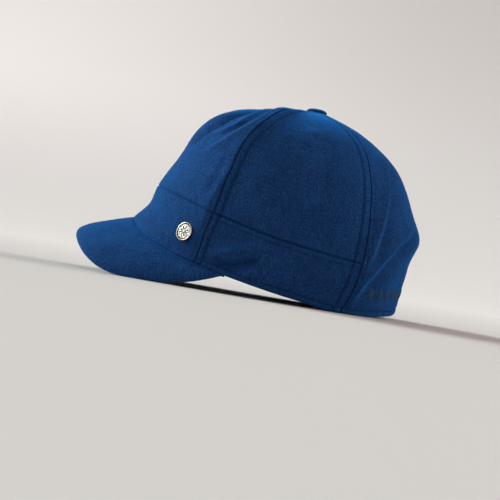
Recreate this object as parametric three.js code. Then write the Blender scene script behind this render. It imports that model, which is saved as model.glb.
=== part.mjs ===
// Wool cap with a short curved peak, a covered top button and a small metal badge.
// Millimetres. The cap rests on z = 0, the peak points to -Y and the wearer's left is +X.
// Azimuth, in degrees, is 0 at the front, 90 at the wearer's left and 180 at the back.
// Up is 0 at the crown's lower edge and 1 under the top button.
import * as THREE from "three";

const WALL = 2.2; // felted wool cloth
const GAP = 0.35; // clearance between neighbouring pieces
const SEAM_DIP = 0.8; // how far the cloth is drawn in along a seam
const SEAM_ROLL = 2.6; // width of the strip beside a seam that is drawn in
const BAND_UP = 0.2; // the seam that joins the bands to the panels above them
const TOP_UP = 0.986; // the panels end here, round the button's post

const PEAK_END = 73.5; // azimuth where the peak runs out under the crown
const PEAK_TAPER = 16; // degrees over which it thins before that
const PEAK_THICK = 3.6;
const PEAK_THIN = 1.2;
const PEAK_TUCK = 3; // strip of the peak that lies under the crown's edge
const PEAK_STRAIGHT = 0.72; // share of the peak's drop that is a straight slope
const PEAK_CURL = 5; // how late the rest of the drop comes

const BUTTON_RADIUS = 7.7;
const BUTTON_HEIGHT = 3.4;
const POST_RADIUS = 2;
const POST_DEPTH = 5;

const BADGE_AZIMUTH = 48.8;
const BADGE_UP = 0.085;
const BADGE_RADIUS = 7.4;
const BADGE_THICK = 1.9;
const BADGE_RIM = 1;
const BADGE_RECESS = 0.7;
const PETALS = 8;
const PETAL_INNER = 1.4;
const PETAL_OUTER = 5.6;
const PETAL_RELIEF = 0.5;

// The crown's front and back lines at each level
const MIDDLE = [
  { up: 0, frontY: -88.6, frontZ: 44.1, backY: 119, backZ: 5 },
  { up: 0.07, frontY: -79.8, frontZ: 54.5, backY: 122, backZ: 18.5 },
  { up: 0.2, frontY: -74.4, frontZ: 71.1, backY: 124.2, backZ: 36 },
  { up: 0.36, frontY: -62.8, frontZ: 93.7, backY: 122, backZ: 69 },
  { up: 0.52, frontY: -51.5, frontZ: 117.5, backY: 114.4, backZ: 93.4 },
  { up: 0.68, frontY: -34.4, frontZ: 132.9, backY: 97.6, backZ: 116.5 },
  { up: 0.84, frontY: -5, frontZ: 141.4, backY: 70, backZ: 134.5 },
  { up: 1, frontY: 35, frontZ: 145, backY: 35, backZ: 145 },
];

// Its side line at each level; full is 1 for a round plan and less for a squarer one
const SIDE = [
  { up: 0, x: 84, y: 17, z: 7.5, full: 1 },
  { up: 0.07, x: 87, y: 17, z: 20, full: 1 },
  { up: 0.2, x: 92, y: 19, z: 46, full: 1 },
  { up: 0.36, x: 95, y: 21, z: 77, full: 0.97 },
  { up: 0.52, x: 88, y: 24, z: 105, full: 0.95 },
  { up: 0.68, x: 67, y: 28, z: 128, full: 0.95 },
  { up: 0.84, x: 36, y: 32, z: 141, full: 0.98 },
  { up: 1, x: 0, y: 35, z: 145, full: 1 },
];

// Height of the crown's lower edge; it lies flat on the ground behind the ears
const HEM = [
  { azimuth: 0, z: 44.1 },
  { azimuth: 22, z: 34.9 },
  { azimuth: 38, z: 27.1 },
  { azimuth: 48, z: 22.5 },
  { azimuth: 60, z: 18 },
  { azimuth: 74, z: 12.8 },
  { azimuth: 92, z: 7 },
  { azimuth: 107, z: 3.2 },
  { azimuth: 119, z: 0.1 },
  { azimuth: 133, z: -0.4 },
  { azimuth: 150, z: 1.4 },
  { azimuth: 180, z: 4.5 },
];

// Azimuth of the two upright seams of a side, from the lower edge to the button
const SEAMS = [
  { up: 0, front: 60, back: 124.2 },
  { up: 0.1, front: 59, back: 126.8 },
  { up: 0.2, front: 60.6, back: 128 },
  { up: 0.36, front: 61, back: 128 },
  { up: 0.52, front: 62.4, back: 127.6 },
  { up: 0.68, front: 67.6, back: 128.4 },
  { up: 0.84, front: 70.6, back: 128 },
  { up: 1, front: 72, back: 127 },
];

// How far the peak's edge stands out from the crown's lower edge, and its height
const PEAK = [
  { azimuth: 0, reach: 39.8, z: 26.3 },
  { azimuth: 8, reach: 40.6, z: 22.4 },
  { azimuth: 15, reach: 40.6, z: 16.8 },
  { azimuth: 22, reach: 39.5, z: 10.1 },
  { azimuth: 30, reach: 35.4, z: 3.1 },
  { azimuth: 38, reach: 29.1, z: 0.2 },
  { azimuth: 45, reach: 22.4, z: 0 },
  { azimuth: 52, reach: 15.8, z: 0.9 },
  { azimuth: 60, reach: 9.8, z: 3.6 },
  { azimuth: 68, reach: 4.6, z: 8.5 },
  { azimuth: 73.5, reach: 0.8, z: 12.6 },
];

// Folds and hollows of the soft crown. Lift is outward. A fold dies away at a distance to the left and to
// the right of its run, is sharper for a smaller crest, and is repeated weaker on the cap's right.
const FOLDS = [
  { fold: "front corner", lift: 2.4, left: 13, right: 26, crest: 1.5, repeat: 0.8 },
  { fold: "front pleat", lift: 2.4, left: 12, right: 5, crest: 0.8, repeat: 0.8 },
  { fold: "front crease", lift: -1.4, left: 4, right: 6, crest: 2, repeat: 0.8 },
  { fold: "front fold", lift: 1.6, left: 6, right: 6, crest: 2, repeat: 0.8 },
  { fold: "front hollow", lift: -6, left: 10, right: 28, crest: 5, repeat: 0.8 },
  { fold: "seam hollow", lift: -1.1, left: 8, right: 10, crest: 10, repeat: 0.8 },
  { fold: "side swell", lift: 0.9, left: 13, right: 11, crest: 12, repeat: 0.6 },
  { fold: "side hollow", lift: -1.1, left: 10, right: 12, crest: 12, repeat: 0.6 },
  { fold: "band ridge", lift: 2.4, left: 7, right: 9, crest: 1.2, repeat: 0.7 },
  { fold: "band dent", lift: -3.6, left: 9, right: 8, crest: 3, repeat: 0.7 },
  { fold: "band swell", lift: 2.2, left: 9, right: 9, crest: 2, repeat: 0.7 },
  { fold: "back ridge", lift: 2.4, left: 7, right: 17, crest: 0.6, repeat: 0.8 },
  { fold: "back valley", lift: -2.3, left: 18, right: 7, crest: 1.5, repeat: 0.8 },
  { fold: "slant fold", lift: 2.4, left: 7, right: 14, crest: 0.6, repeat: 0.8 },
  { fold: "slant valley", lift: -2.2, left: 18, right: 7, crest: 1.5, repeat: 0.8 },
  { fold: "back overhang", lift: 5.6, left: 26, right: 20, crest: 10, repeat: 0 },
  { fold: "nape hollow", lift: -1.8, left: 26, right: 22, crest: 40, repeat: 0 },
];

// The line that each fold follows, as azimuth and up of a few points on the left side
const FOLD_LINES = {
  "front corner": [
    [71, 0.9], [70.6, 0.84], [67.6, 0.68], [62.4, 0.52],
    [61, 0.36], [60.6, 0.2], [59, 0.1], [59.6, 0.02],
  ],
  "front pleat": [
    [67, 0.86], [64, 0.76], [62.5, 0.68], [59.5, 0.61],
    [54.5, 0.55], [48, 0.485], [40, 0.435], [33, 0.4],
  ],
  "front crease": [[59, 0.8], [57, 0.71], [54, 0.63], [49, 0.56], [41, 0.5]],
  "front fold": [[50.5, 0.82], [49.5, 0.69], [48, 0.595], [43, 0.54], [33, 0.51]],
  "front hollow": [[42, 0.86], [39, 0.74], [37, 0.66], [31, 0.57]],
  "seam hollow": [[58, 0.4], [56, 0.34], [52, 0.27]],
  "side swell": [[94, 0.72], [92, 0.58], [89, 0.44]],
  "side hollow": [[101, 0.66], [103, 0.5], [104, 0.34]],
  "band ridge": [[59.5, 0.04], [64, 0.084], [69.5, 0.12], [75.5, 0.15], [81, 0.18]],
  "band dent": [[61, 0.02], [68, 0.054], [73.5, 0.074], [79, 0.1], [84, 0.13]],
  "band swell": [[79, 0.05], [84.5, 0.1], [87, 0.128], [90, 0.17]],
  "back ridge": [
    [156, 0.74], [146, 0.635], [142.3, 0.565], [139.3, 0.49], [136.6, 0.392],
    [134.6, 0.32], [132.8, 0.264], [130.6, 0.2], [128, 0.1],
  ],
  "back valley": [
    [161, 0.72], [150, 0.62], [146.5, 0.55], [143.5, 0.48],
    [140.7, 0.39], [138.6, 0.32], [136.4, 0.26], [133, 0.17],
  ],
  "slant fold": [
    [166, 0.38], [157.6, 0.346], [150, 0.306], [145, 0.27], [140.4, 0.234],
    [135.8, 0.182], [131.6, 0.13], [128.5, 0.07], [125.5, 0.01],
  ],
  "slant valley": [
    [167, 0.345], [159.8, 0.322], [152.2, 0.282], [147.2, 0.246],
    [142.8, 0.21], [138.3, 0.158], [134.3, 0.106], [130, 0.04],
  ],
  "back overhang": [[150, 0.315], [180, 0.322], [210, 0.315]],
  "nape hollow": [[145, 0.13], [180, 0.14], [215, 0.13]],
};

const BAND_ROWS = [0, 0.03, 0.07, 0.12, 0.16];
const LOW_ROWS = [0.24, 0.28, 0.32, 0.36, 0.4, 0.44];
const PANEL_ROWS = [...LOW_ROWS, 0.49, 0.54, 0.59, 0.64, 0.69, 0.74, 0.79, 0.84, 0.9, 0.95];

const degrees = THREE.MathUtils.degToRad;
const clamp = THREE.MathUtils.clamp;
const lerp = THREE.MathUtils.lerp;

// Smooth curve through one column of a table; a level start or end has no slope there
function curve(table, key, column, at, { levelStart = false, levelEnd = false } = {}) {
  const last = table.length - 1;
  const x = clamp(at, table[0][key], table[last][key]);
  let i = 0;
  while (i < last - 1 && x > table[i + 1][key]) i += 1;
  const step = (k) => table[k + 1][key] - table[k][key];
  const rate = (k) => (table[k + 1][column] - table[k][column]) / step(k);
  const slope = (k) => {
    if (k === 0) return levelStart ? 0 : rate(0);
    if (k === last) return levelEnd ? 0 : rate(last - 1);
    return (rate(k - 1) * step(k) + rate(k) * step(k - 1)) / (step(k - 1) + step(k));
  };
  const t = (x - table[i][key]) / step(i);
  const start = table[i][column] + slope(i) * step(i) * t * (1 - t) ** 2;
  const rise = (table[i + 1][column] - table[i][column]) * t * t * (3 - 2 * t);
  return start + rise - slope(i + 1) * step(i) * t * t * (1 - t);
}

const halfTurn = (azimuth) => Math.abs(THREE.MathUtils.euclideanModulo(azimuth + 180, 360) - 180);

const LEVEL_ENDS = { levelStart: true, levelEnd: true };
const hemHeight = (azimuth) => curve(HEM, "azimuth", "z", halfTurn(azimuth), LEVEL_ENDS);

// Height round the cap of a line that passes through a front, a side and a back height
function levelLine(front, side, back, cosine) {
  const middle = (front + back) / 2;
  const sag = ((middle - side) / 2) * (2 * cosine * cosine - 1);
  return (middle + side) / 2 + ((front - back) / 2) * cosine + sag;
}

// The crown's smooth form without its folds
function crownForm(azimuth, up) {
  const at = (table, column) => curve(table, "up", column, up);
  const height = (table, column) => curve(table, "up", column, up, { levelEnd: true });
  const cosine = Math.cos(degrees(azimuth));
  const sine = Math.sin(degrees(azimuth));
  const full = at(SIDE, "full");
  const middle = at(SIDE, "y");
  const end = at(MIDDLE, cosine > 0 ? "frontY" : "backY");
  const x = at(SIDE, "x") * Math.sign(sine) * Math.abs(sine) ** full;
  const y = middle + (end - middle) * Math.abs(cosine) ** full;
  const plainHem = levelLine(MIDDLE[0].frontZ, SIDE[0].z, MIDDLE[0].backZ, cosine);
  const hemShare = clamp(1 - up / BAND_UP, 0, 1);
  const z = levelLine(height(MIDDLE, "frontZ"), height(SIDE, "z"), height(MIDDLE, "backZ"), cosine);
  return new THREE.Vector3(x, y, z + (hemHeight(azimuth) - plainHem) * hemShare);
}

function outward(azimuth, up) {
  const round = crownForm(azimuth + 0.4, up).sub(crownForm(azimuth - 0.4, up));
  const rise = crownForm(azimuth, Math.min(up + 0.004, 1)).sub(crownForm(azimuth, Math.max(up - 0.004, 0)));
  return round.cross(rise).normalize();
}

// A fold as a line of stretches on one side of the crown
function foldOn(side, strength, row) {
  const points = FOLD_LINES[row.fold].map(([azimuth, up]) => crownForm(side * azimuth, up));
  const reach = Math.max(row.left, row.right);
  const stretches = [];
  let total = 0;
  for (let k = 0; k + 1 < points.length; k += 1) {
    const line = new THREE.Line3(points[k], points[k + 1]);
    stretches.push({ line, run: line.delta(new THREE.Vector3()).normalize(), passed: total });
    total += line.distance();
  }
  const room = new THREE.Box3().setFromPoints(points).expandByScalar(reach);
  return { ...row, side, lift: row.lift * strength, stretches, total, room };
}

const folds = FOLDS.flatMap((row) => [foldOn(1, 1, row), foldOn(-1, row.repeat, row)]);

// Lift of one fold at a point of the smooth form
function oneLift(fold, point, normal) {
  let best = { distance: Infinity };
  for (const { line, run, passed } of fold.stretches) {
    const t = line.closestPointToPointParameter(point, true);
    const away = point.clone().sub(line.at(t, new THREE.Vector3()));
    const distance = away.length();
    const along = (passed + t * line.distance()) / fold.total;
    if (distance < best.distance) best = { distance, away, run, along };
  }
  const over = fold.side * best.run.clone().cross(best.away).dot(normal);
  const spread = lerp(fold.right, fold.left, THREE.MathUtils.smoothstep(over, -1, 1));
  const width = Math.hypot(spread, fold.crest) - fold.crest;
  const fade = Math.min((Math.hypot(best.distance, fold.crest) - fold.crest) / width, 1);
  const ends = THREE.MathUtils.smoothstep(Math.min(best.along, 1 - best.along), 0, 0.25);
  return fold.lift * (1 - fade) ** 2 * ends;
}

function foldLift(point, normal) {
  const near = folds.filter((fold) => fold.lift !== 0 && fold.room.containsPoint(point));
  return near.reduce((sum, fold) => sum + oneLift(fold, point, normal), 0);
}

// A point of the cloth's outer face and the direction outward from it; the lower edge is cut level
function cloth(azimuth, up) {
  const point = crownForm(azimuth, up);
  const normal = outward(azimuth, up);
  point.addScaledVector(normal, foldLift(point, normal));
  if (up === 0) normal.setZ(0).normalize();
  return { point, normal };
}

// A closed body between two grids of points that match, rows running to the left of the columns
function closedBody(outer, inner) {
  const rows = outer.length;
  const columns = outer[0].length;
  const points = [...outer.flat(), ...inner.flat()];
  const inside = rows * columns;
  const at = (row, column) => row * columns + column;
  const faces = [];
  const quad = (a, b, c, d) => faces.push(a, b, c, a, c, d);
  for (let r = 0; r + 1 < rows; r += 1) {
    for (let c = 0; c + 1 < columns; c += 1) {
      quad(at(r, c), at(r, c + 1), at(r + 1, c + 1), at(r + 1, c));
      quad(inside + at(r, c), inside + at(r + 1, c), inside + at(r + 1, c + 1), inside + at(r, c + 1));
    }
  }
  const edge = [];
  for (let c = 0; c < columns - 1; c += 1) edge.push(at(0, c));
  for (let r = 0; r < rows - 1; r += 1) edge.push(at(r, columns - 1));
  for (let c = columns - 1; c > 0; c -= 1) edge.push(at(rows - 1, c));
  for (let r = rows - 1; r > 0; r -= 1) edge.push(at(r, 0));
  edge.forEach((from, k) => {
    const to = edge[(k + 1) % edge.length];
    quad(from, inside + from, inside + to, to);
  });
  const geometry = new THREE.BufferGeometry().setFromPoints(points);
  geometry.setIndex(faces);
  geometry.computeVertexNormals();
  return geometry;
}

// Nothing reaches below the ground that the cap rests on
const aboveGround = (point) => point.setZ(Math.max(point.z, 0));

// A sewn piece of the crown from one azimuth line to another, through the given rows. Its edges keep half
// a gap to the seam line, and the cloth is drawn in along each edge that is a seam.
function sewnPanel(fromLine, toLine, rows, cells, { seamBelow = false, seamAbove = false } = {}) {
  const outer = [];
  const inner = [];
  rows.forEach((row, r) => {
    const below = r === 0 && seamBelow;
    const above = r === rows.length - 1 && seamAbove;
    const middle = (fromLine(row) + toLine(row)) / 2;
    const rise = crownForm(middle, row + 0.005).distanceTo(crownForm(middle, row - 0.005)) / 0.01;
    const up = row + (below ? GAP / 2 / rise : 0) - (above ? GAP / 2 / rise : 0);
    const perDegree = (azimuth) => crownForm(azimuth + 0.5, up).distanceTo(crownForm(azimuth - 0.5, up));
    const from = fromLine(row) + GAP / 2 / perDegree(fromLine(row));
    const to = toLine(row) - GAP / 2 / perDegree(toLine(row));
    const roll = Math.min(SEAM_ROLL / perDegree(middle), (to - from) / (cells + 2));
    const outerRow = [];
    const innerRow = [];
    for (let c = 0; c <= cells + 2; c += 1) {
      const atSeam = c === 0 || c === cells + 2;
      const inset = lerp(from + roll, to - roll, clamp((c - 1) / cells, 0, 1));
      const azimuth = c === 0 ? from : c === cells + 2 ? to : inset;
      const { point, normal } = cloth(azimuth, up);
      const dip = atSeam || below || above ? SEAM_DIP : 0;
      outerRow.push(aboveGround(point.clone().addScaledVector(normal, -dip)));
      innerRow.push(aboveGround(point.clone().addScaledVector(normal, -WALL)));
    }
    outer.push(outerRow);
    inner.push(innerRow);
  });
  return closedBody(outer, inner);
}

// The peak's middle surface at a distance out from the crown's edge; inside the edge it is level
function peakMiddle(azimuth, out, thickness) {
  const hem = crownForm(azimuth, 0);
  const run = crownForm(azimuth + 0.5, 0).sub(crownForm(azimuth - 0.5, 0));
  const away = new THREE.Vector3(run.y, -run.x, 0).normalize();
  const half = halfTurn(azimuth);
  const reach = curve(PEAK, "azimuth", "reach", half, { levelStart: true });
  const edgeZ = curve(PEAK, "azimuth", "z", half, { levelStart: true });
  const rootZ = hem.z - GAP - thickness / 2;
  const s = Math.max(out, 0);
  const drop = PEAK_STRAIGHT * s + (1 - PEAK_STRAIGHT) * s ** PEAK_CURL;
  const distance = out < 0 ? out * PEAK_TUCK : out * reach;
  return hem.addScaledVector(away, distance).setZ(lerp(rootZ, edgeZ, drop));
}

// Rows of the peak: out is 1 at its edge, 0 at the crown's edge and -1 where the tucked strip ends
const PEAK_ROWS = [
  { out: 1, thick: 0.3 },
  { out: 0.985, thick: 0.75 },
  { out: 0.95, thick: 1 },
  { out: 0.82, thick: 1 },
  { out: 0.66, thick: 1 },
  { out: 0.5, thick: 1 },
  { out: 0.33, thick: 1 },
  { out: 0.16, thick: 1 },
  { out: 0, thick: 1 },
  { out: -1, thick: 1 },
];

function peakGeometry(cells) {
  const top = [];
  const under = [];
  for (const { out, thick } of PEAK_ROWS) {
    const topRow = [];
    const underRow = [];
    for (let c = 0; c <= cells; c += 1) {
      const azimuth = lerp(-PEAK_END, PEAK_END, c / cells);
      const taper = THREE.MathUtils.smoothstep(PEAK_END - halfTurn(azimuth), 0, PEAK_TAPER);
      const thickness = lerp(PEAK_THIN, PEAK_THICK, taper);
      const middle = peakMiddle(azimuth, out, thickness);
      const at = (turn, step) => peakMiddle(azimuth + turn, out + step, thickness);
      const round = at(0.5, 0).sub(at(-0.5, 0));
      const inward = at(0, -0.01).sub(at(0, 0.01));
      const normal = round.cross(inward).normalize();
      if (out <= 0) normal.set(0, 0, 1);
      const half = (thickness / 2) * thick;
      topRow.push(aboveGround(middle.clone().addScaledVector(normal, half)));
      underRow.push(aboveGround(middle.clone().addScaledVector(normal, -half)));
    }
    top.push(topRow);
    under.push(underRow);
  }
  return closedBody(top, under);
}

// How far the cloth stands above the plane that touches it at a point, within a radius of that point
function standProud(azimuth, up, radius) {
  const { point, normal } = cloth(azimuth, up);
  let highest = 0;
  for (let da = -40; da <= 40; da += 2) {
    for (let du = -0.12; du <= 0.12; du += 0.01) {
      const offset = cloth(azimuth + da, clamp(up + du, 0, 1)).point.sub(point);
      const height = offset.dot(normal);
      if (offset.addScaledVector(normal, -height).length() <= radius) highest = Math.max(highest, height);
    }
  }
  return highest;
}

// A turned body on +Z from pairs of radius and height
function turned(profile, segments) {
  const points = profile.map(([radius, height]) => new THREE.Vector2(radius, height));
  return new THREE.LatheGeometry(points, segments).rotateX(Math.PI / 2);
}

// A low dome of cloth over a disc, with the post that holds it through the crown
function topButtonGeometry() {
  const post = [[0, -POST_DEPTH], [POST_RADIUS, -POST_DEPTH], [POST_RADIUS, 0]];
  const profile = [...post, [BUTTON_RADIUS - 0.7, 0]];
  for (let angle = 0; angle < 90; angle += 18) {
    const radius = BUTTON_RADIUS * Math.cos(degrees(angle)) ** 0.8;
    profile.push([radius, lerp(0.8, BUTTON_HEIGHT, Math.sin(degrees(angle)) ** 0.9)]);
  }
  profile.push([0, BUTTON_HEIGHT]);
  return turned(profile, 24);
}

// A disc with a raised rim round a shallow field, and a flower of plain petals in the field
function badgeGeometry() {
  const field = BADGE_THICK - BADGE_RECESS;
  const petalRing = (PETAL_INNER + PETAL_OUTER) / 2;
  const profile = [
    [0, 0],
    [BADGE_RADIUS - 0.4, 0],
    [BADGE_RADIUS, 0.5],
    [BADGE_RADIUS, BADGE_THICK - 0.3],
    [BADGE_RADIUS - BADGE_RIM / 2, BADGE_THICK],
    [BADGE_RADIUS - BADGE_RIM, BADGE_THICK - 0.3],
    [BADGE_RADIUS - BADGE_RIM, field],
    [PETAL_OUTER, field],
    [petalRing, field],
    [PETAL_INNER, field],
    [PETAL_INNER * 0.6, field + PETAL_RELIEF],
    [0, field + PETAL_RELIEF],
  ];
  const geometry = turned(profile, PETALS * 4);
  const position = geometry.attributes.position;
  for (let k = 0; k < position.count; k += 1) {
    const radius = Math.hypot(position.getX(k), position.getY(k));
    if (position.getZ(k) < field - 0.01 || Math.abs(radius - petalRing) > 0.01) continue;
    const angle = Math.atan2(position.getY(k), position.getX(k));
    position.setZ(k, field + PETAL_RELIEF * Math.cos((angle * PETALS) / 2) ** 2);
  }
  return geometry;
}

const wool = new THREE.MeshStandardMaterial({ color: 0x1b4b80, roughness: 0.95, metalness: 0 });
const metal = new THREE.MeshStandardMaterial({ color: 0xb8b2a8, roughness: 0.35, metalness: 1 });

const group = new THREE.Group();

function addPiece(name, geometry, material) {
  const mesh = new THREE.Mesh(geometry, material.clone());
  mesh.name = name;
  group.add(mesh);
  return mesh;
}

// Seam lines: each gives the azimuth at a height
const frontSeam = (up) => curve(SEAMS, "up", "front", up);
const backSeam = (up) => curve(SEAMS, "up", "back", up);
const rightFrontSeam = (up) => -frontSeam(up);
const rightBackSeam = (up) => -backSeam(up);
const backSeamRound = (up) => 360 - backSeam(up);
const bandRows = [...BAND_ROWS, BAND_UP];
const panelRows = [BAND_UP, ...PANEL_ROWS, TOP_UP];

function addCrown() {
  const band = { seamAbove: true };
  const panel = { seamBelow: true };
  const backRows = [...bandRows, ...PANEL_ROWS, TOP_UP];
  addPiece("front_panel", sewnPanel(rightFrontSeam, frontSeam, panelRows, 28, panel), wool);
  addPiece("front_band", sewnPanel(rightFrontSeam, frontSeam, bandRows, 24, band), wool);
  addPiece("side_panel_left", sewnPanel(frontSeam, backSeam, panelRows, 12, panel), wool);
  addPiece("side_band_left", sewnPanel(frontSeam, backSeam, bandRows, 12, band), wool);
  addPiece("side_panel_right", sewnPanel(rightBackSeam, rightFrontSeam, panelRows, 12, panel), wool);
  addPiece("side_band_right", sewnPanel(rightBackSeam, rightFrontSeam, bandRows, 12, band), wool);
  addPiece("back_panel", sewnPanel(backSeam, backSeamRound, backRows, 22), wool);
}

function addPeak() {
  addPiece("peak", peakGeometry(38), wool);
}

function addTopButton() {
  const { point } = cloth(0, 1);
  const mesh = addPiece("top_button", topButtonGeometry(), wool);
  mesh.position.copy(point).setZ(point.z + GAP);
}

function addBadge() {
  const { point, normal } = cloth(BADGE_AZIMUTH, BADGE_UP);
  const seat = standProud(BADGE_AZIMUTH, BADGE_UP, BADGE_RADIUS) + GAP;
  const mesh = addPiece("badge", badgeGeometry(), metal);
  mesh.position.copy(point).addScaledVector(normal, seat);
  mesh.quaternion.setFromUnitVectors(new THREE.Vector3(0, 0, 1), normal);
}

addCrown();
addPeak();
addTopButton();
addBadge();

export default group;
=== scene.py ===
"""A sewn cap of felted wool, standing by itself on a pale studio floor.

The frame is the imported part's: +Z up, the peak towards -Y, the wearer's left and its badge towards +X.
Lengths in the tables are millimetres; the meshes are metres.
"""

import math
from collections import namedtuple

import bmesh
import bpy
import numpy as np
from mathutils import Matrix, Vector, noise


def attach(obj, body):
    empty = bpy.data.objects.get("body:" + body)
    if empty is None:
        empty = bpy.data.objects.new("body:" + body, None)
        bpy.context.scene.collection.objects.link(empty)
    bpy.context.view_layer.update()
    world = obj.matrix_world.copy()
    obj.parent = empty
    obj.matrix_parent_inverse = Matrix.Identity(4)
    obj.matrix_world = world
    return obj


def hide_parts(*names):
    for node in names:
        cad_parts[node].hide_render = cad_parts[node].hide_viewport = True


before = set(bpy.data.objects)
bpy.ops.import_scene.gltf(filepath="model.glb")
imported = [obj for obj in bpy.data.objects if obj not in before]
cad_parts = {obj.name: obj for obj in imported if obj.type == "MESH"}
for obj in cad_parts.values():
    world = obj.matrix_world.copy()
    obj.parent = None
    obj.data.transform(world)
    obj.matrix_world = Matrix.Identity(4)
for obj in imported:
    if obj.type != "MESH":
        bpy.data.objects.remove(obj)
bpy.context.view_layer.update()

MM = 0.001
BODY = "root"
WOOL = "wool_cloth"
METAL = "badge_metal"

# The photograph looks level at the cap's left side, and the cap leans back in it
PHOTO_PIXELS = 500
PIXEL_MM = 0.761  # at the cap's middle
CAMERA_DISTANCE = 1.5
CAMERA_AIM_Y = 0.0027
CAMERA_AIM_Z = 0.0343
PITCH_BACK = math.radians(9.7)
SENSOR_MM = 36

# A point of the crown is given by its azimuth, 0 at the peak and 90 on the wearer's left, and by up, 0 at the
# lower edge and 1 under the button
WALL = 2.2
BAND_UP = 0.2  # where the bands meet the upper panels
TOP_UP = 0.986  # where the panels end, under the button


def table(columns, *rows):
    """Rows of numbers as named columns."""
    return dict(zip(columns.split(), np.array(rows, float).T))


# The crown without its folds: its front, its left side and its back at each level. In plan it is an ellipse
# where full is 1, and squarer where it is less.
LEVELS = table(
    "up front_y front_z side_x side_y side_z back_y back_z full",
    (0, -88.6, 44.1, 84, 17, 7.5, 119, 5, 1),
    (0.07, -79.8, 54.5, 87, 17, 20, 122, 18.5, 1),
    (0.2, -74.4, 71.1, 92, 19, 46, 124.2, 36, 1),
    (0.36, -62.8, 93.7, 95, 21, 77, 122, 69, 0.97),
    (0.52, -51.5, 117.5, 88, 24, 105, 114.4, 93.4, 0.95),
    (0.68, -34.4, 132.3, 67, 28, 128, 97.6, 116.5, 0.95),
    (0.84, -5, 140.9, 36, 32, 141, 70, 134.5, 0.98),
    (1, 35, 145, 0, 35, 145, 35, 145, 1),
)
# Height of the lower edge
HEM = table(
    "azimuth z",
    (0, 44.1), (22, 34.9), (38, 27.1), (48, 22.5), (60, 18), (74, 12.8),
    (92, 7), (107, 3.2), (119, 0.1), (133, -0.4), (150, 1.4), (168, 3.4), (180, 5.8),
)
# Azimuth of the two upright seams of the left side
SEAMS = table(
    "up front back",
    (0, 60, 124.2), (0.1, 59, 126.8), (0.2, 60.6, 128), (0.36, 61, 128),
    (0.52, 62.4, 127.6), (0.68, 67.6, 128.4), (0.84, 70.6, 128), (1, 72, 127),
)
# How far the peak's edge stands out from the crown, and its height
PEAK = table(
    "azimuth reach z",
    (0, 39.8, 26.3), (8, 40.6, 22.4), (15, 40.6, 16.8), (22, 39.5, 10.1), (30, 35.4, 3.1), (38, 29.1, 0.2),
    (45, 22.4, 0), (52, 15.8, 0.9), (60, 9.8, 3.6), (68, 4.6, 8.5), (73.5, 0.15, 13.2),
)
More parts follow.
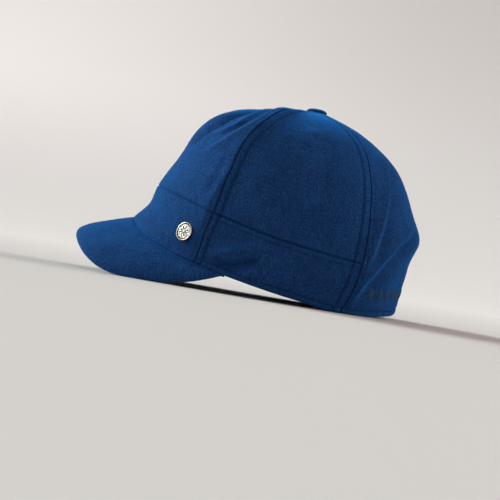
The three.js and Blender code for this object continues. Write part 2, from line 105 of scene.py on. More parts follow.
# Folds and hollows. A line runs through points of azimuth and up. The lift fades out at a distance to the
# left and to the right of its run, and is sharper for a smaller crest. A share of it is repeated on the cap's
# right.
Fold = namedtuple("Fold", "lift left right crest repeat line")
FOLDS = {
    "front corner": Fold(3.4, 13, 27, 2, 0.8, [
        (71.5, 0.93), (70.5, 0.85), (67.4, 0.68), (61.6, 0.52), (59, 0.36), (57.6, 0.2),
        (57, 0.1), (57.6, 0.02),
    ]),
    "front pleat": Fold(1.7, 12, 5, 0.8, 0.8, [
        (66, 0.86), (63.5, 0.76), (62.3, 0.68), (59.5, 0.61), (54.5, 0.55), (48, 0.485),
        (40, 0.435), (32, 0.395),
    ]),
    "front crease": Fold(-1.1, 4, 5, 1.5, 0.8, [
        (60, 0.82), (58, 0.71), (55, 0.63), (50, 0.56), (42, 0.5),
    ]),
    "front fold": Fold(1.3, 5, 6, 1.5, 0.8, [
        (52, 0.82), (50.5, 0.69), (48.5, 0.595), (43, 0.54), (33, 0.51),
    ]),
    "front hollow": Fold(-10.5, 7, 24, 5, 0.8, [
        (46, 0.95), (43, 0.82), (39, 0.7), (33, 0.58), (24, 0.48), (8, 0.42),
    ]),
    "front rise": Fold(1, 14, 30, 3, 0.8, [(33, 0.92), (28, 0.8), (23, 0.68), (14, 0.56), (4, 0.47)]),
    "seam hollow": Fold(-1.2, 10, 8, 10, 0.8, [(58, 0.46), (56, 0.34), (54, 0.24)]),
    "side swell": Fold(0.9, 13, 11, 12, 0.6, [(94, 0.72), (92, 0.58), (89, 0.44)]),
    "side hollow": Fold(-1.1, 10, 12, 12, 0.6, [(101, 0.66), (103, 0.5), (104, 0.34)]),
    "band ridge": Fold(2.4, 9, 7, 3.5, 0.7, [
        (65, 0.064), (73.5, 0.1), (78.5, 0.12), (83, 0.14), (88, 0.158), (96, 0.18),
    ]),
    "band dent": Fold(-7, 4.5, 7, 1.5, 0.7, [
        (65.5, 0.052), (70, 0.04), (74, 0.044), (77, 0.058), (80, 0.074), (84.5, 0.096),
        (90, 0.122),
    ]),
    "band swell": Fold(3.6, 5, 10, 1.5, 0.7, [
        (81, 0.01), (83, 0.04), (84.5, 0.08), (86, 0.1), (90, 0.13),
    ]),
    "band hollow": Fold(-1.8, 8, 8, 6, 0.7, [
        (60, 0.09), (67.5, 0.12), (73, 0.136), (78, 0.156), (85, 0.188),
    ]),
    "back ridge": Fold(2.7, 8, 17, 1, 0.8, [
        (156, 0.74), (146, 0.635), (142.1, 0.565), (139, 0.49), (136.3, 0.392), (134.4, 0.32),
        (132.6, 0.264), (130.4, 0.2), (128, 0.1),
    ]),
    "back valley": Fold(-2.7, 18, 8, 1.5, 0.8, [
        (162, 0.72), (150.6, 0.62), (147, 0.55), (144, 0.48), (141.2, 0.39), (139.1, 0.32),
        (136.9, 0.26), (133.4, 0.17),
    ]),
    "slant fold": Fold(2.7, 8, 14, 1, 0.8, [
        (166, 0.38), (157.4, 0.347), (149.8, 0.308), (144.8, 0.272), (140.2, 0.236),
        (135.6, 0.184), (131.4, 0.132), (128.3, 0.07), (125.5, 0.01),
    ]),
    "slant valley": Fold(-2.6, 18, 8, 1.5, 0.8, [
        (167, 0.34), (160, 0.318), (152.5, 0.278), (147.5, 0.242), (143.1, 0.206), (138.6, 0.154),
        (134.6, 0.102), (130.3, 0.04),
    ]),
    "back overhang": Fold(5.6, 26, 20, 10, 0, [(150, 0.315), (180, 0.322), (210, 0.315)]),
    "nape hollow": Fold(-1.8, 26, 22, 40, 0, [(145, 0.13), (180, 0.14), (215, 0.13)]),
}
FOLD_ENDS = 0.25  # share of a fold's length over which it rises from nothing at each end
FOLD_MIDDLE = (-1, 1)  # strip along its line where the reach to one side passes into that to the other

# How the cloth is sewn
ROLL = 1.4  # radius of the turn into a seam
SEAM_SHADE_START = 0.3  # distance from a seam where its painted shade begins to fade
HEM_ROLL = 1.9  # radius of the folded lower edge
HEM_THICK = 4.1
HEM_FADE = (7, 10)  # where the doubled strip above the lower edge thins out
STITCH_SPREAD = 1.1  # half width of the dip along a row of stitches
STITCH_LENGTH = 2.3
STITCH_PITCH = 3.3
STITCH_THREAD = 0.28
STITCH_SUNK = 0.05
RAISED_FADE = (-0.8, 1.6)  # where the raised strip ends, from its row of stitches
CALM_UP = (0.42, 0.7)  # levels between which the pull of the upright rows weakens
CALM_SHARE = 0.6  # share of the pull that is gone above them
ROW_ROOM = 2  # level rows of stitches end at this distance from the upright seams
# share of painted shade in the seams' grooves and the stitches' dips
PAINTED_SHADE_SHARE = 0.75
# Rows of stitches: distance from the seam or edge, how far the cloth between them stands up, how far it is
# pulled in
FRONT_ROW = (4.2, 0.1, 0.15)
SIDE_ROW = (4.9, 0.5, 0.75)
SIDE_BACK_ROW = (6.6, 0.5, 0.6)
BACK_ROW = (3.8, 0.1, 0.18)
BAND_ROW = (4.2, 0.25, 0.28)
HEM_ROW = (4.4, 0.2, 0.5)

# Unevenness of the cloth as waves: length and height
SOFT_WAVES = ((28, 0.6), (9, 0.2))
SEAM_WAVES = ((4.2, 0.5),)
PEAK_WAVES = ((30, 0.7), (9, 0.2))

# Grid of a cloth piece
NEAR = 8.4  # strip beside a sewn edge, with steps that grow from it
NEAR_STEPS = 20
NEAR_GROWTH = 1.5
NEAR_SHARE = 2.5  # a piece narrower than this many strips gets narrower ones
FAR_STEP = 1.35
MM_PER_UP = 180
LINE_SAMPLES = 40
ROW_SAMPLES = 240


def curve(rows, key, column, at, level_start=False, level_end=False):
    """Smooth curve through one column of a table."""
    x, y = rows[key], rows[column]
    step = np.diff(x)
    rate = np.diff(y) / step
    slope = np.empty_like(y)
    slope[1:-1] = (rate[:-1] * step[1:] + rate[1:] * step[:-1]) / (step[:-1] + step[1:])
    slope[0] = 0 if level_start else rate[0]
    slope[-1] = 0 if level_end else rate[-1]
    at = np.clip(at, x[0], x[-1])
    i = np.clip(np.searchsorted(x, at, side="right") - 1, 0, len(step) - 1)
    t = (at - x[i]) / step[i]
    start = y[i] + slope[i] * step[i] * t * (1 - t) ** 2
    return start + (y[i + 1] - y[i]) * t * t * (3 - 2 * t) - slope[i + 1] * step[i] * t * t * (1 - t)


def smoothstep(x, low, high):
    t = np.clip((x - low) / (high - low), 0, 1)
    return t * t * (3 - 2 * t)


def unit(vectors):
    return vectors / np.maximum(np.linalg.norm(vectors, axis=-1, keepdims=True), 1e-9)


def half_turn(azimuth):
    return np.abs((azimuth + 180) % 360 - 180)


def level_line(front, side, back, cosine):
    """Height round the cap of a line through a front, a side and a back height."""
    middle = (front + back) / 2
    sag = (middle - side) / 2 * (2 * cosine * cosine - 1)
    return (middle + side) / 2 + (front - back) / 2 * cosine + sag


def crown_form(azimuth, up):
    """The crown's smooth form without its folds, in millimetres."""
    azimuth, up = np.broadcast_arrays(np.asarray(azimuth, float), np.asarray(up, float))
    cosine, sine = np.cos(np.radians(azimuth)), np.sin(np.radians(azimuth))
    at = {name: curve(LEVELS, "up", name, up, level_end=name.endswith("_z")) for name in LEVELS}
    end = np.where(cosine > 0, at["front_y"], at["back_y"])
    x = at["side_x"] * np.sign(sine) * np.abs(sine) ** at["full"]
    y = at["side_y"] + (end - at["side_y"]) * np.abs(cosine) ** at["full"]
    plain_hem = level_line(LEVELS["front_z"][0], LEVELS["side_z"][0], LEVELS["back_z"][0], cosine)
    hem = curve(HEM, "azimuth", "z", half_turn(azimuth), level_start=True, level_end=True)
    z = level_line(at["front_z"], at["side_z"], at["back_z"], cosine)
    z = z + (hem - plain_hem) * np.clip(1 - up / BAND_UP, 0, 1)
    return np.stack([x, y, z], -1)


TURN_STEP = 0.4
UP_STEP = 0.004
LEVEL_UP = 0.03  # below it the direction outward turns level, towards the lower edge


def outward(azimuth, up):
    """Directions outward of the crown without its folds."""
    around = crown_form(azimuth + TURN_STEP, up) - crown_form(azimuth - TURN_STEP, up)
    above, below = np.minimum(up + UP_STEP, 1), np.maximum(up - UP_STEP, 0)
    return unit(np.cross(around, crown_form(azimuth, above) - crown_form(azimuth, below)))


def one_fold(points, normals, side, lift, fold):
    """Lift of one fold on the left, 1, or the right, -1, from the distance to its line."""
    azimuth, up = np.array(fold.line, float).T
    line = crown_form(side * azimuth, up)
    lengths = np.linalg.norm(np.diff(line, axis=0), axis=1)
    best = np.full(points.shape[:-1], np.inf)
    along = np.zeros(points.shape[:-1])
    over = np.zeros(points.shape[:-1])
    passed = 0
    for start, end, length in zip(line[:-1], line[1:], lengths):
        run = (end - start) / length
        t = np.clip((points - start) @ run, 0, length)
        away = points - (start + t[..., None] * run)
        distance = np.linalg.norm(away, axis=-1)
        nearer = distance < best
        best = np.where(nearer, distance, best)
        along = np.where(nearer, (passed + t) / lengths.sum(), along)
        over = np.where(nearer, side * np.sum(np.cross(run, away) * normals, -1), over)
        passed += length
    spread = fold.right + (fold.left - fold.right) * smoothstep(over, *FOLD_MIDDLE)
    crest = fold.crest
    fade = (np.sqrt(best**2 + crest**2) - crest) / (np.sqrt(spread**2 + crest**2) - crest)
    return lift * (1 - np.minimum(fade, 1)) ** 2 * smoothstep(np.minimum(along, 1 - along), 0, FOLD_ENDS)


def fold_lift(points, normals):
    lift = np.zeros(points.shape[:-1])
    for fold in FOLDS.values():
        lift += one_fold(points, normals, 1, fold.lift, fold)
        if fold.repeat:
            lift += one_fold(points, normals, -1, fold.lift * fold.repeat, fold)
    return lift


def cloth(azimuth, up):
    """Points of the crown's outer face with its folds, and the directions outward."""
    points, normals = crown_form(azimuth, up), outward(azimuth, up)
    points = points + normals * fold_lift(points, normals)[..., None]
    flat = unit(normals * [1, 1, 0])
    level = np.clip(1 - np.asarray(up) / LEVEL_UP, 0, 1)[..., None]
    return points, unit(normals + (flat - normals) * level)


def uneven(points, waves):
    """Unevenness of soft cloth in millimetres."""
    places = [Vector(p) for p in points.reshape(-1, 3)]
    total = np.zeros(len(places))
    for wavelength, height in waves:
        total += [height * noise.noise(place / wavelength) for place in places]
    return total.reshape(points.shape[:-1])


def rolled(distance, radius):
    """How far a round turn at an edge drops away from the face, at a distance from the edge."""
    inside = np.clip(radius - distance, 0, radius)
    return radius - np.sqrt(radius**2 - inside**2)


def stations(length, widest, fine_end=True):
    """Positions along a length, close together near sewn edges. Their number follows the widest."""
    near = NEAR * np.linspace(0, 1, NEAR_STEPS + 1) ** NEAR_GROWTH * min(1, length / (NEAR_SHARE * NEAR))
    end = length - near[::-1] if fine_end else np.array([length])
    count = math.ceil(widest / FAR_STEP)
    return np.concatenate([near, np.linspace(near[-1], end[0], count + 1)[1:-1], end])


def run_of(line):
    """Distance of each point of a line from its first."""
    return np.concatenate([[0], np.cumsum(np.linalg.norm(np.diff(line, axis=0), axis=1))])


def row_stations(azimuths, up, widest):
    """Azimuths of one row of a piece, spaced by their distance on the cloth."""
    sweep = np.linspace(*azimuths, ROW_SAMPLES)
    run = run_of(crown_form(sweep, up))
    return np.interp(stations(run[-1], widest), run, sweep)


def run_along(points, axis):
    """Distance of each grid point from the grid's first edge along an axis."""
    lengths = np.linalg.norm(np.diff(points, axis=axis), axis=-1)
    pad = [(1, 0) if k == axis else (0, 0) for k in range(2)]
    return np.pad(np.cumsum(lengths, axis=axis), pad)


def front_left(up):
    return curve(SEAMS, "up", "front", up)


def back_left(up):
    return curve(SEAMS, "up", "back", up)


def front_right(up):
    return -front_left(up)


def back_right(up):
    return -back_left(up)


def back_round(up):
    """The right back seam as reached from the left one over the back."""
    return 360 - back_left(up)


class Panel:
    """A sewn piece of the crown as a grid: rows of points from one seam to the next, bottom to top."""

    def __init__(self, start, end, low, high, rows):
        self.rows = rows
        self.hem = "low" in rows
        self.closed = high < TOP_UP
        height = (high - low) * MM_PER_UP
        up = low + stations(height, height, self.closed) / MM_PER_UP
        up[-1] = high
        lines = [crown_form(np.linspace(start(u), end(u), LINE_SAMPLES), u) for u in up]
        widest = max(run_of(line)[-1] for line in lines)
        azimuth = np.array([row_stations((start(u), end(u)), u, widest) for u in up])
        self.up = np.broadcast_to(up[:, None], azimuth.shape)
        plain = crown_form(azimuth, self.up)
        run, rise = run_along(plain, 1), run_along(plain, 0)
        self.edges = {
            "start": run,
            "end": run[:, -1:] - run,
            "low": rise,
            "high": rise[-1:] - rise,
        }
        self.points, self.normals = cloth(azimuth, self.up)
        self.outer, self.inner, self.painted_shade_and_patina = self.sew()

    def sew(self):
        """The outer and inner face with seams and rows of stitches, and the painted shade in the seams and
        stitch dips.
        """
        drop = np.zeros(self.up.shape)
        thick = np.full(self.up.shape, WALL)
        raised = np.zeros(self.up.shape)
        pulled = np.zeros(self.up.shape)
        seam = np.zeros(self.up.shape)
        for edge, distance in self.edges.items():
            if edge == "high" and not self.closed:
                continue
            if edge == "low" and self.hem:
                drop = np.maximum(drop, rolled(distance, HEM_ROLL))
                thick += (HEM_THICK - WALL) * (1 - smoothstep(distance, *HEM_FADE))
                thick -= rolled(distance, HEM_ROLL)
            else:
                drop = np.maximum(drop, rolled(distance, ROLL))
                # painted shade along the seam's groove
                seam = np.maximum(seam, 1 - smoothstep(distance, SEAM_SHADE_START, ROLL))
            if edge in self.rows:
                row, rise, dip = self.rows[edge]
                if edge in ("start", "end"):
                    dip = dip * (1 - CALM_SHARE * smoothstep(self.up, *CALM_UP))
                past = smoothstep(distance, row + RAISED_FADE[0], row + RAISED_FADE[1])
                raised = np.maximum(raised, rise * (1 - past))
                pulled = np.maximum(pulled, dip * np.exp(-(((distance - row) / STITCH_SPREAD) ** 2)))
        puckers = uneven(self.points, SEAM_WAVES) * np.maximum(raised, pulled)
        waves = uneven(self.points, SOFT_WAVES) + puckers
        lift = waves + raised - pulled - drop
        outer = self.points + self.normals * lift[..., None]
        inner = self.points - self.normals * (thick - waves)[..., None]
        outer[..., 2] = np.maximum(outer[..., 2], 0)
        inner[..., 2] = np.maximum(inner[..., 2], 0)
        # the seams and the stitches' dips get painted shade
        return outer, inner, np.clip(PAINTED_SHADE_SHARE * seam + PAINTED_SHADE_SHARE * pulled, 0, 1)

    def row_at(self, edge):
        """Points and outward directions along a row of stitches. It skips parts too narrow for one."""
        away = self.edges[edge]
        distance = self.rows[edge][0]
        across = edge in ("start", "end")
        beside = np.minimum(self.edges["start"], self.edges["end"])
        places = []
        for k in range(away.shape[0] if across else away.shape[1]):
            pick = (k, slice(None)) if across else (slice(None), k)
            along = away[pick]
            if along.max() < distance * 2 or (not across and beside[pick].max() < ROW_ROOM):
                continue
            order = np.argsort(along)
            both = np.concatenate([self.outer[pick], self.normals[pick]], -1)[order]
            places.append([np.interp(distance, along[order], both[:, axis]) for axis in range(6)])
        return np.array(places)


def sheet_mesh(name, outer, inner, shade_marks):
    """A closed wall: a slab made of a grid and its extruded copy, moved to the two faces."""
    rows, columns = outer.shape[:2]
    slab = bmesh.new()
    bmesh.ops.create_grid(slab, x_segments=columns - 1, y_segments=rows - 1, size=0.5)
    made = bmesh.ops.extrude_face_region(slab, geom=slab.faces[:], use_keep_orig=True)["geom"]
    back = [item for item in made if isinstance(item, bmesh.types.BMVert)]
    bmesh.ops.translate(slab, verts=back, vec=(0, 0, -1))
    bmesh.ops.recalc_face_normals(slab, faces=slab.faces[:])
    mesh = bpy.data.meshes.new(name)
    slab.to_mesh(mesh)
    slab.free()
    flat = np.empty(len(mesh.vertices) * 3)
    mesh.vertices.foreach_get("co", flat)
    flat = flat.reshape(-1, 3)
    column = np.rint((flat[:, 0] + 0.5) * (columns - 1)).astype(int)
    row = np.rint((flat[:, 1] + 0.5) * (rows - 1)).astype(int)
    behind = flat[:, 2] < -0.5
    places = np.where(behind[:, None], inner[row, column], outer[row, column]) * MM
    mesh.vertices.foreach_set("co", places.ravel())
    # the painted shade goes on the outer face only
    mark(mesh, "painted_shade_and_patina", np.where(behind, 0, shade_marks[row, column]))
    mesh.update()
    return mesh


def mark(mesh, name, values):
    mesh.attributes.new(name, "FLOAT", "POINT").data.foreach_set("value", values)


def to_mesh(name, shape):
    mesh = bpy.data.meshes.new(name)
    shape.to_mesh(mesh)
    shape.free()
    return mesh


def turned(profile, steps, gap=0.001):
    """A round body spun from a profile of radius and height. An end within the gap of the axis is closed."""
    shape = bmesh.new()
    line = [shape.verts.new((max(radius, gap), 0, height)) for radius, height in profile]
    edges = [shape.edges.new(pair) for pair in zip(line, line[1:])]
    bmesh.ops.spin(
        shape, geom=line + edges, cent=(0, 0, 0), axis=(0, 0, 1), angle=math.tau, steps=steps, use_merge=True
    )
    bmesh.ops.remove_doubles(shape, verts=shape.verts[:], dist=5 * gap)
    bmesh.ops.recalc_face_normals(shape, faces=shape.faces[:])
    return shape


def add_piece(mesh, finish, slot, *replaces):
    mesh.polygons.foreach_set("use_smooth", [True] * len(mesh.polygons))
    mesh.materials.append(finish)
    piece = bpy.data.objects.new(mesh.name, mesh)
    bpy.context.scene.collection.objects.link(piece)
    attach(piece, BODY)
    if replaces:
        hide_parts(*replaces)


class Level:
    """A number that a material's nodes work out."""

    def __init__(self, finish, socket):
        self.finish = finish
        self.socket = socket

    def __add__(self, other):
        return self.finish.maths("ADD", self, other)

    def __mul__(self, other):
        return self.finish.maths("MULTIPLY", self, other)

    __radd__ = __add__
    __rmul__ = __mul__


class Finish:
    """A material under construction."""

    def __init__(self, name):
        self.material = bpy.data.materials.new(name)
        self.material.use_nodes = True
        self.tree = self.material.node_tree
        self.shader = self.tree.nodes["Principled BSDF"]

    def node(self, kind, settings=(), inputs=(), output=0):
        made = self.tree.nodes.new(kind)
        for name, value in dict(settings).items():
            setattr(made, name, value)
        for name, value in dict(inputs).items():
            self.join(made.inputs[name], value)
        return Level(self, made.outputs[output])

    def join(self, socket, value):
        if isinstance(value, Level):
            self.tree.links.new(value.socket, socket)
        else:
            socket.default_value = value

    def maths(self, operation, first, second):
        return self.node("ShaderNodeMath", {"operation": operation}, {0: first, 1: second})

    def noise(self, scale, detail=2, stretch=(1, 1, 1)):
        place = self.node("ShaderNodeTexCoord", output="Object")
        place = self.node("ShaderNodeMapping", {}, {"Vector": place, "Scale": stretch})
        return self.node("ShaderNodeTexNoise", {}, {"Vector": place, "Scale": scale, "Detail": detail})

    def blend(self, share, first, second):
        inputs = {0: share, 6: first, 7: second}
        return self.node("ShaderNodeMix", {"data_type": "RGBA"}, inputs, output=2)

    def between(self, value, low, high):
        inputs = {"Value": value, "From Min": low, "From Max": high}
        return self.node("ShaderNodeMapRange", {"interpolation_type": "SMOOTHSTEP"}, inputs)

    def attribute(self, name):
        return self.node("ShaderNodeAttribute", {"attribute_name": name}, output="Fac")

    def bump(self, height, distance, strength=1):
        return self.node("ShaderNodeBump", {}, {"Height": height, "Distance": distance, "Strength": strength})

    def surface(self, values):
        """Joins or sets the sockets of the surface, and gives the material."""
        for name, value in values.items():
            self.join(self.shader.inputs[name], value)
        return self.material


# the deepest wool colour is painted shade, and also the tone of random dark clouds
WOOL_SHADE_AND_CLOUD = (0.001, 0.01, 0.04, 1)
WOOL_DARK = (0.0085, 0.026, 0.09, 1)
WOOL_BLUE = (0.0115, 0.051, 0.166, 1)
WOOL_LIGHT = (0.01, 0.105, 0.31, 1)
WOOL_FLECK = (0.04, 0.18, 0.4, 1)
WOOL_SHEEN = (0.005, 0.3, 1, 1)
# pale fibres: partly a lighter fibre colour, partly painted light shining through the fibres
NAP_PALE_AND_LIT = (0.1, 0.22, 0.4, 1)
SAME_THREAD = (0.0015, 0.018, 0.066, 1)
BACK_THREAD = (0.035, 0.075, 0.16, 1)
SILVER_DULL = (0.4, 0.37, 0.325, 1)
SILVER_CLEAN = (0.58, 0.54, 0.48, 1)
# dark patina of the badge's hollows, also used as painted shade on its side and foot
PATINA_SHADE_DARK = (0.012, 0.012, 0.011, 1)
PATINA_SHADE_LIGHT = (0.045, 0.043, 0.034, 1)


def wool_finish(name):
    """Felted wool: mixed fibres in lighter and darker blues, a few pale flecks, and a matted surface, with
    painted shade where marked.
    """
    wool = Finish(name)
    fibres = wool.noise(scale=820, detail=4, stretch=(1.1, 1.1, 0.8))
    mottle = wool.noise(scale=150, detail=3)
    matted = wool.noise(scale=1500, detail=3)
    mixed = wool.between(fibres * 0.6 + mottle * 0.22 + matted * 0.18, 0.37, 0.63)
    colour = wool.blend(mixed, WOOL_DARK, WOOL_BLUE)
    light = wool.between(wool.noise(scale=900, detail=3, stretch=(1, 1, 0.7)), 0.56, 0.74)
    colour = wool.blend(light * 0.55, colour, WOOL_LIGHT)
    flecks = wool.between(wool.noise(scale=1150, detail=1, stretch=(1, 1, 0.5)), 0.7, 0.78)
    colour = wool.blend(flecks * 0.5, colour, WOOL_FLECK)
    clouds = wool.between(wool.noise(scale=28), 0.62, 0.36)
    # painted shade in the seams, stitch dips, the peak's root crease and over the button, with random dark
    # clouds
    colour = wool.blend(wool.attribute("painted_shade_and_patina") * 0.8 + clouds * 0.1, colour, WOOL_SHADE_AND_CLOUD)
    fuzz = wool.noise(scale=900, detail=4, stretch=(1, 1, 0.6))
    lumps = wool.noise(scale=300, detail=3)
    return wool.surface({
        "Base Color": colour,
        "Normal": wool.bump(fuzz * 0.6 + lumps * 0.7, distance=0.0006, strength=0.75),
        "Roughness": 0.92,
        "Specular IOR Level": 0.015,
        "Sheen Weight": 0.41,
        "Sheen Roughness": 0.42,
        "Sheen Tint": WOOL_SHEEN,
    })


def nap_finish(name):
    """Loose fibres, some of them pale: partly lighter fibres, partly painted light shining through fibres."""
    fibre = Finish(name)
    return fibre.surface({
        "Base Color": fibre.blend(fibre.attribute("pale"), WOOL_BLUE, NAP_PALE_AND_LIT),
        "Roughness": 0.9,
        "Specular IOR Level": 0.05,
    })


STRAND = 0.5  # width of a strand of the embroidery


def thread_finish(name, colour):
    """Twisted thread, ribbed where strands lie side by side."""
    thread = Finish(name)
    twist = thread.noise(scale=2400)
    dark = tuple(0.5 * part for part in colour[:3]) + (1,)
    strands = thread.maths("SINE", thread.attribute("strand") * (math.tau / STRAND), 0)
    return thread.surface({
        "Base Color": thread.blend(thread.between(twist, 0.35, 0.65), dark, colour),
        "Normal": thread.bump(strands * 0.5 + twist * 0.5, distance=0.00025, strength=0.8),
        "Roughness": 0.85,
        "Specular IOR Level": 0.06,
    })


def metal_finish(name):
    """Brushed metal, dark with patina in its hollows, and with painted shade where its mesh marks its side.
    """
    metal = Finish(name)
    # patina in the rings and petal lines, painted shade on the side and foot
    hollow = metal.attribute("painted_shade_and_patina")
    brushed = metal.noise(scale=900, detail=3, stretch=(1, 1, 6))
    clean = metal.blend(brushed, SILVER_DULL, SILVER_CLEAN)
    patina_and_shade = metal.blend(metal.between(metal.noise(scale=500, detail=3), 0.3, 0.8), PATINA_SHADE_DARK, PATINA_SHADE_LIGHT)
    return metal.surface({
        "Base Color": metal.blend(hollow, clean, patina_and_shade),
        "Normal": metal.bump(brushed, distance=0.00005, strength=0.4),
        "Roughness": brushed * 0.12 + hollow * 0.3 + 0.26,
        "Metallic": 1,
    })


def add_camera():
    """A camera that keeps the photograph's scale at the cap, rolled so that the cap leans back as in it."""
    camera = bpy.data.objects.new("camera", bpy.data.cameras.new("camera"))
    bpy.context.scene.collection.objects.link(camera)
    camera.data.sensor_width = SENSOR_MM
    camera.data.lens = SENSOR_MM * CAMERA_DISTANCE / (PHOTO_PIXELS * PIXEL_MM * MM)
    right = Vector((0, math.cos(PITCH_BACK), math.sin(PITCH_BACK)))
    up = Vector((0, -math.sin(PITCH_BACK), math.cos(PITCH_BACK)))
    turn = Matrix((right, up, right.cross(up))).transposed().to_4x4()
    camera.matrix_world = Matrix.Translation((CAMERA_DISTANCE, CAMERA_AIM_Y, CAMERA_AIM_Z)) @ turn
    bpy.context.scene.camera = camera


FLOOR_RADIUS = 1.7
CURVE_RADIUS = 8
CURVE_ANGLE = math.radians(40)
CURVE_STEPS = 26
ROUND_STEPS = 96
# The tones blend between these places: away from the camera, upwards, and from the back's side to the peak's
TONE_BEHIND = (0.3, -1.6)
TONE_HEIGHT = (-0.05, 0.5)
TONE_SIDEWAYS = (1, -1.2)
FLOOR_TONE = (0.512, 0.472, 0.454, 1)
WALL_TONE = (0.665, 0.625, 0.608, 1)
# the lighter tone that rises up the wall on the peak's side is a painted pool of light
PAINTED_LIGHT_TONE = (1, 0.965, 0.95, 1)


def add_stage():
    """A round pale floor that rises far away in a wide curve, so that no edge shows from any side."""
    profile = [(0, 0)]
    for step in range(CURVE_STEPS + 1):
        angle = CURVE_ANGLE * step / CURVE_STEPS
        profile.append((FLOOR_RADIUS + CURVE_RADIUS * math.sin(angle), CURVE_RADIUS * (1 - math.cos(angle))))
    mesh = to_mesh("studio_floor", turned(profile, ROUND_STEPS, 0.0001))
    mesh.polygons.foreach_set("use_smooth", [True] * len(mesh.polygons))
    floor = bpy.data.objects.new("studio_floor", mesh)
    bpy.context.scene.collection.objects.link(floor)
    paper = Finish("pale_paper")
    place = paper.node("ShaderNodeTexCoord", output="Object")
    towards, sideways, height = (
        paper.node("ShaderNodeSeparateXYZ", {}, {"Vector": place}, output=axis) for axis in range(3)
    )
    tone = paper.blend(paper.between(towards, *TONE_BEHIND), FLOOR_TONE, WALL_TONE)
    # a painted pool of light, higher up and towards the peak's side
    painted_light = paper.between(height, *TONE_HEIGHT) * paper.between(sideways, *TONE_SIDEWAYS)
    tone = paper.blend(painted_light, tone, PAINTED_LIGHT_TONE)
    mesh.materials.append(paper.surface({"Base Color": tone, "Roughness": 0.95, "Specular IOR Level": 0.1}))


# Lights as large distant windows
LIGHTS = {
    # compass angle from the peak's direction towards the camera's, height angle, width seen from the cap,
    # strength, colour
    "window": (-27, 20, 36, 7, (0.84, 1.01, 1)),
    "room": (38, 12, 60, 0.66, (1.06, 0.96, 0.96)),
    "back": (194, 20, 36, 2.85, (1, 0.99, 0.98)),
    "overhead": (-95, 60, 50, 0.1, (1, 1, 1)),
}
ROOM_LIGHT = 0.27
ROOM_COLOUR = (1.2, 0.98, 0.96, 1)
LIGHT_AWAY = 3


def add_lights():
    """Soft light of the room from all round, and the windows."""
    world = bpy.data.worlds.new("studio")
    bpy.context.scene.world = world
    world.use_nodes = True
    world.node_tree.nodes["Background"].inputs["Color"].default_value = ROOM_COLOUR
    world.node_tree.nodes["Background"].inputs["Strength"].default_value = ROOM_LIGHT
    for name, (compass, height, width, strength, colour) in LIGHTS.items():
        data = bpy.data.lights.new(name, "SUN")
        data.angle = math.radians(width)
        data.energy = strength
        data.color = colour
        light = bpy.data.objects.new(name, data)
        bpy.context.scene.collection.objects.link(light)
        around, rise = math.radians(compass), math.radians(height)
        away = Vector((math.sin(around) * math.cos(rise), -math.cos(around) * math.cos(rise), math.sin(rise)))
        light.location = away * LIGHT_AWAY
        light.rotation_euler = away.to_track_quat("Z", "Y").to_euler()


def frame_of(along, normal, centre):
    """Turn and place of a small thing: its X runs along, its Z points outward."""
    along = (along - normal * along.dot(normal)).normalized()
    axes = Matrix((along, normal.cross(along), normal)).transposed().to_4x4()
    return Matrix.Translation(centre * MM) @ axes


BESIDE = 1  # distance to the two places that give a row's direction


def evenly(row, pitch):
    """Places, directions along and directions outward at equal steps along a row."""
    run = run_of(row[:, :3])
    for at in np.arange(pitch / 2, run[-1] - pitch / 2, pitch):
        stops = (at - BESIDE, at, at + BESIDE)
        before, here, after = [[np.interp(stop, run, row[:, k]) for k in range(6)] for stop in stops]
        along = Vector(after[:3]) - Vector(before[:3])
        yield Vector(here[:3]), along, Vector(here[3:]).normalized()


def add_stitches(name, rows):
    """Short rounded stitches along rows, half sunk in the cloth: copies of one stitch in one mesh."""
    stitch = bmesh.new()
    size = Matrix.Diagonal((STITCH_LENGTH / 2 * MM, STITCH_THREAD * MM, STITCH_THREAD * MM, 1))
    bmesh.ops.create_uvsphere(stitch, u_segments=6, v_segments=4, radius=1, matrix=size)
    corners = np.array([[*vert.co, 1] for vert in stitch.verts])
    faces = [[vert.index for vert in face.verts] for face in stitch.faces]
    stitch.free()
    points, polygons = [], []
    for row in rows:
        for centre, along, normal in evenly(row, STITCH_PITCH):
            if centre.z < STITCH_LENGTH:
                continue
            first = len(points) * len(corners)
            place = np.array(frame_of(along, normal, centre - normal * STITCH_SUNK))
            points.append((corners @ place.T)[:, :3])
            polygons += [[first + index for index in face] for face in faces]
    mesh = bpy.data.meshes.new(name)
    mesh.from_pydata(np.concatenate(points), [], polygons)
    add_piece(mesh, same_thread, WOOL)


NAP_PER_MM2 = 0.5
NAP_LENGTH = (0.7, 1.9)
NAP_RADIUS = 0.045
NAP_ROOT = 0.12  # depth of a fibre's root in the cloth
NAP_ANGLE = (6, 26)  # between a fibre and the cloth's face
SLANT = (0.31, 0.23, 0.92)  # fixed direction that the fibres' turns are measured from
chance = np.random.default_rng(11)


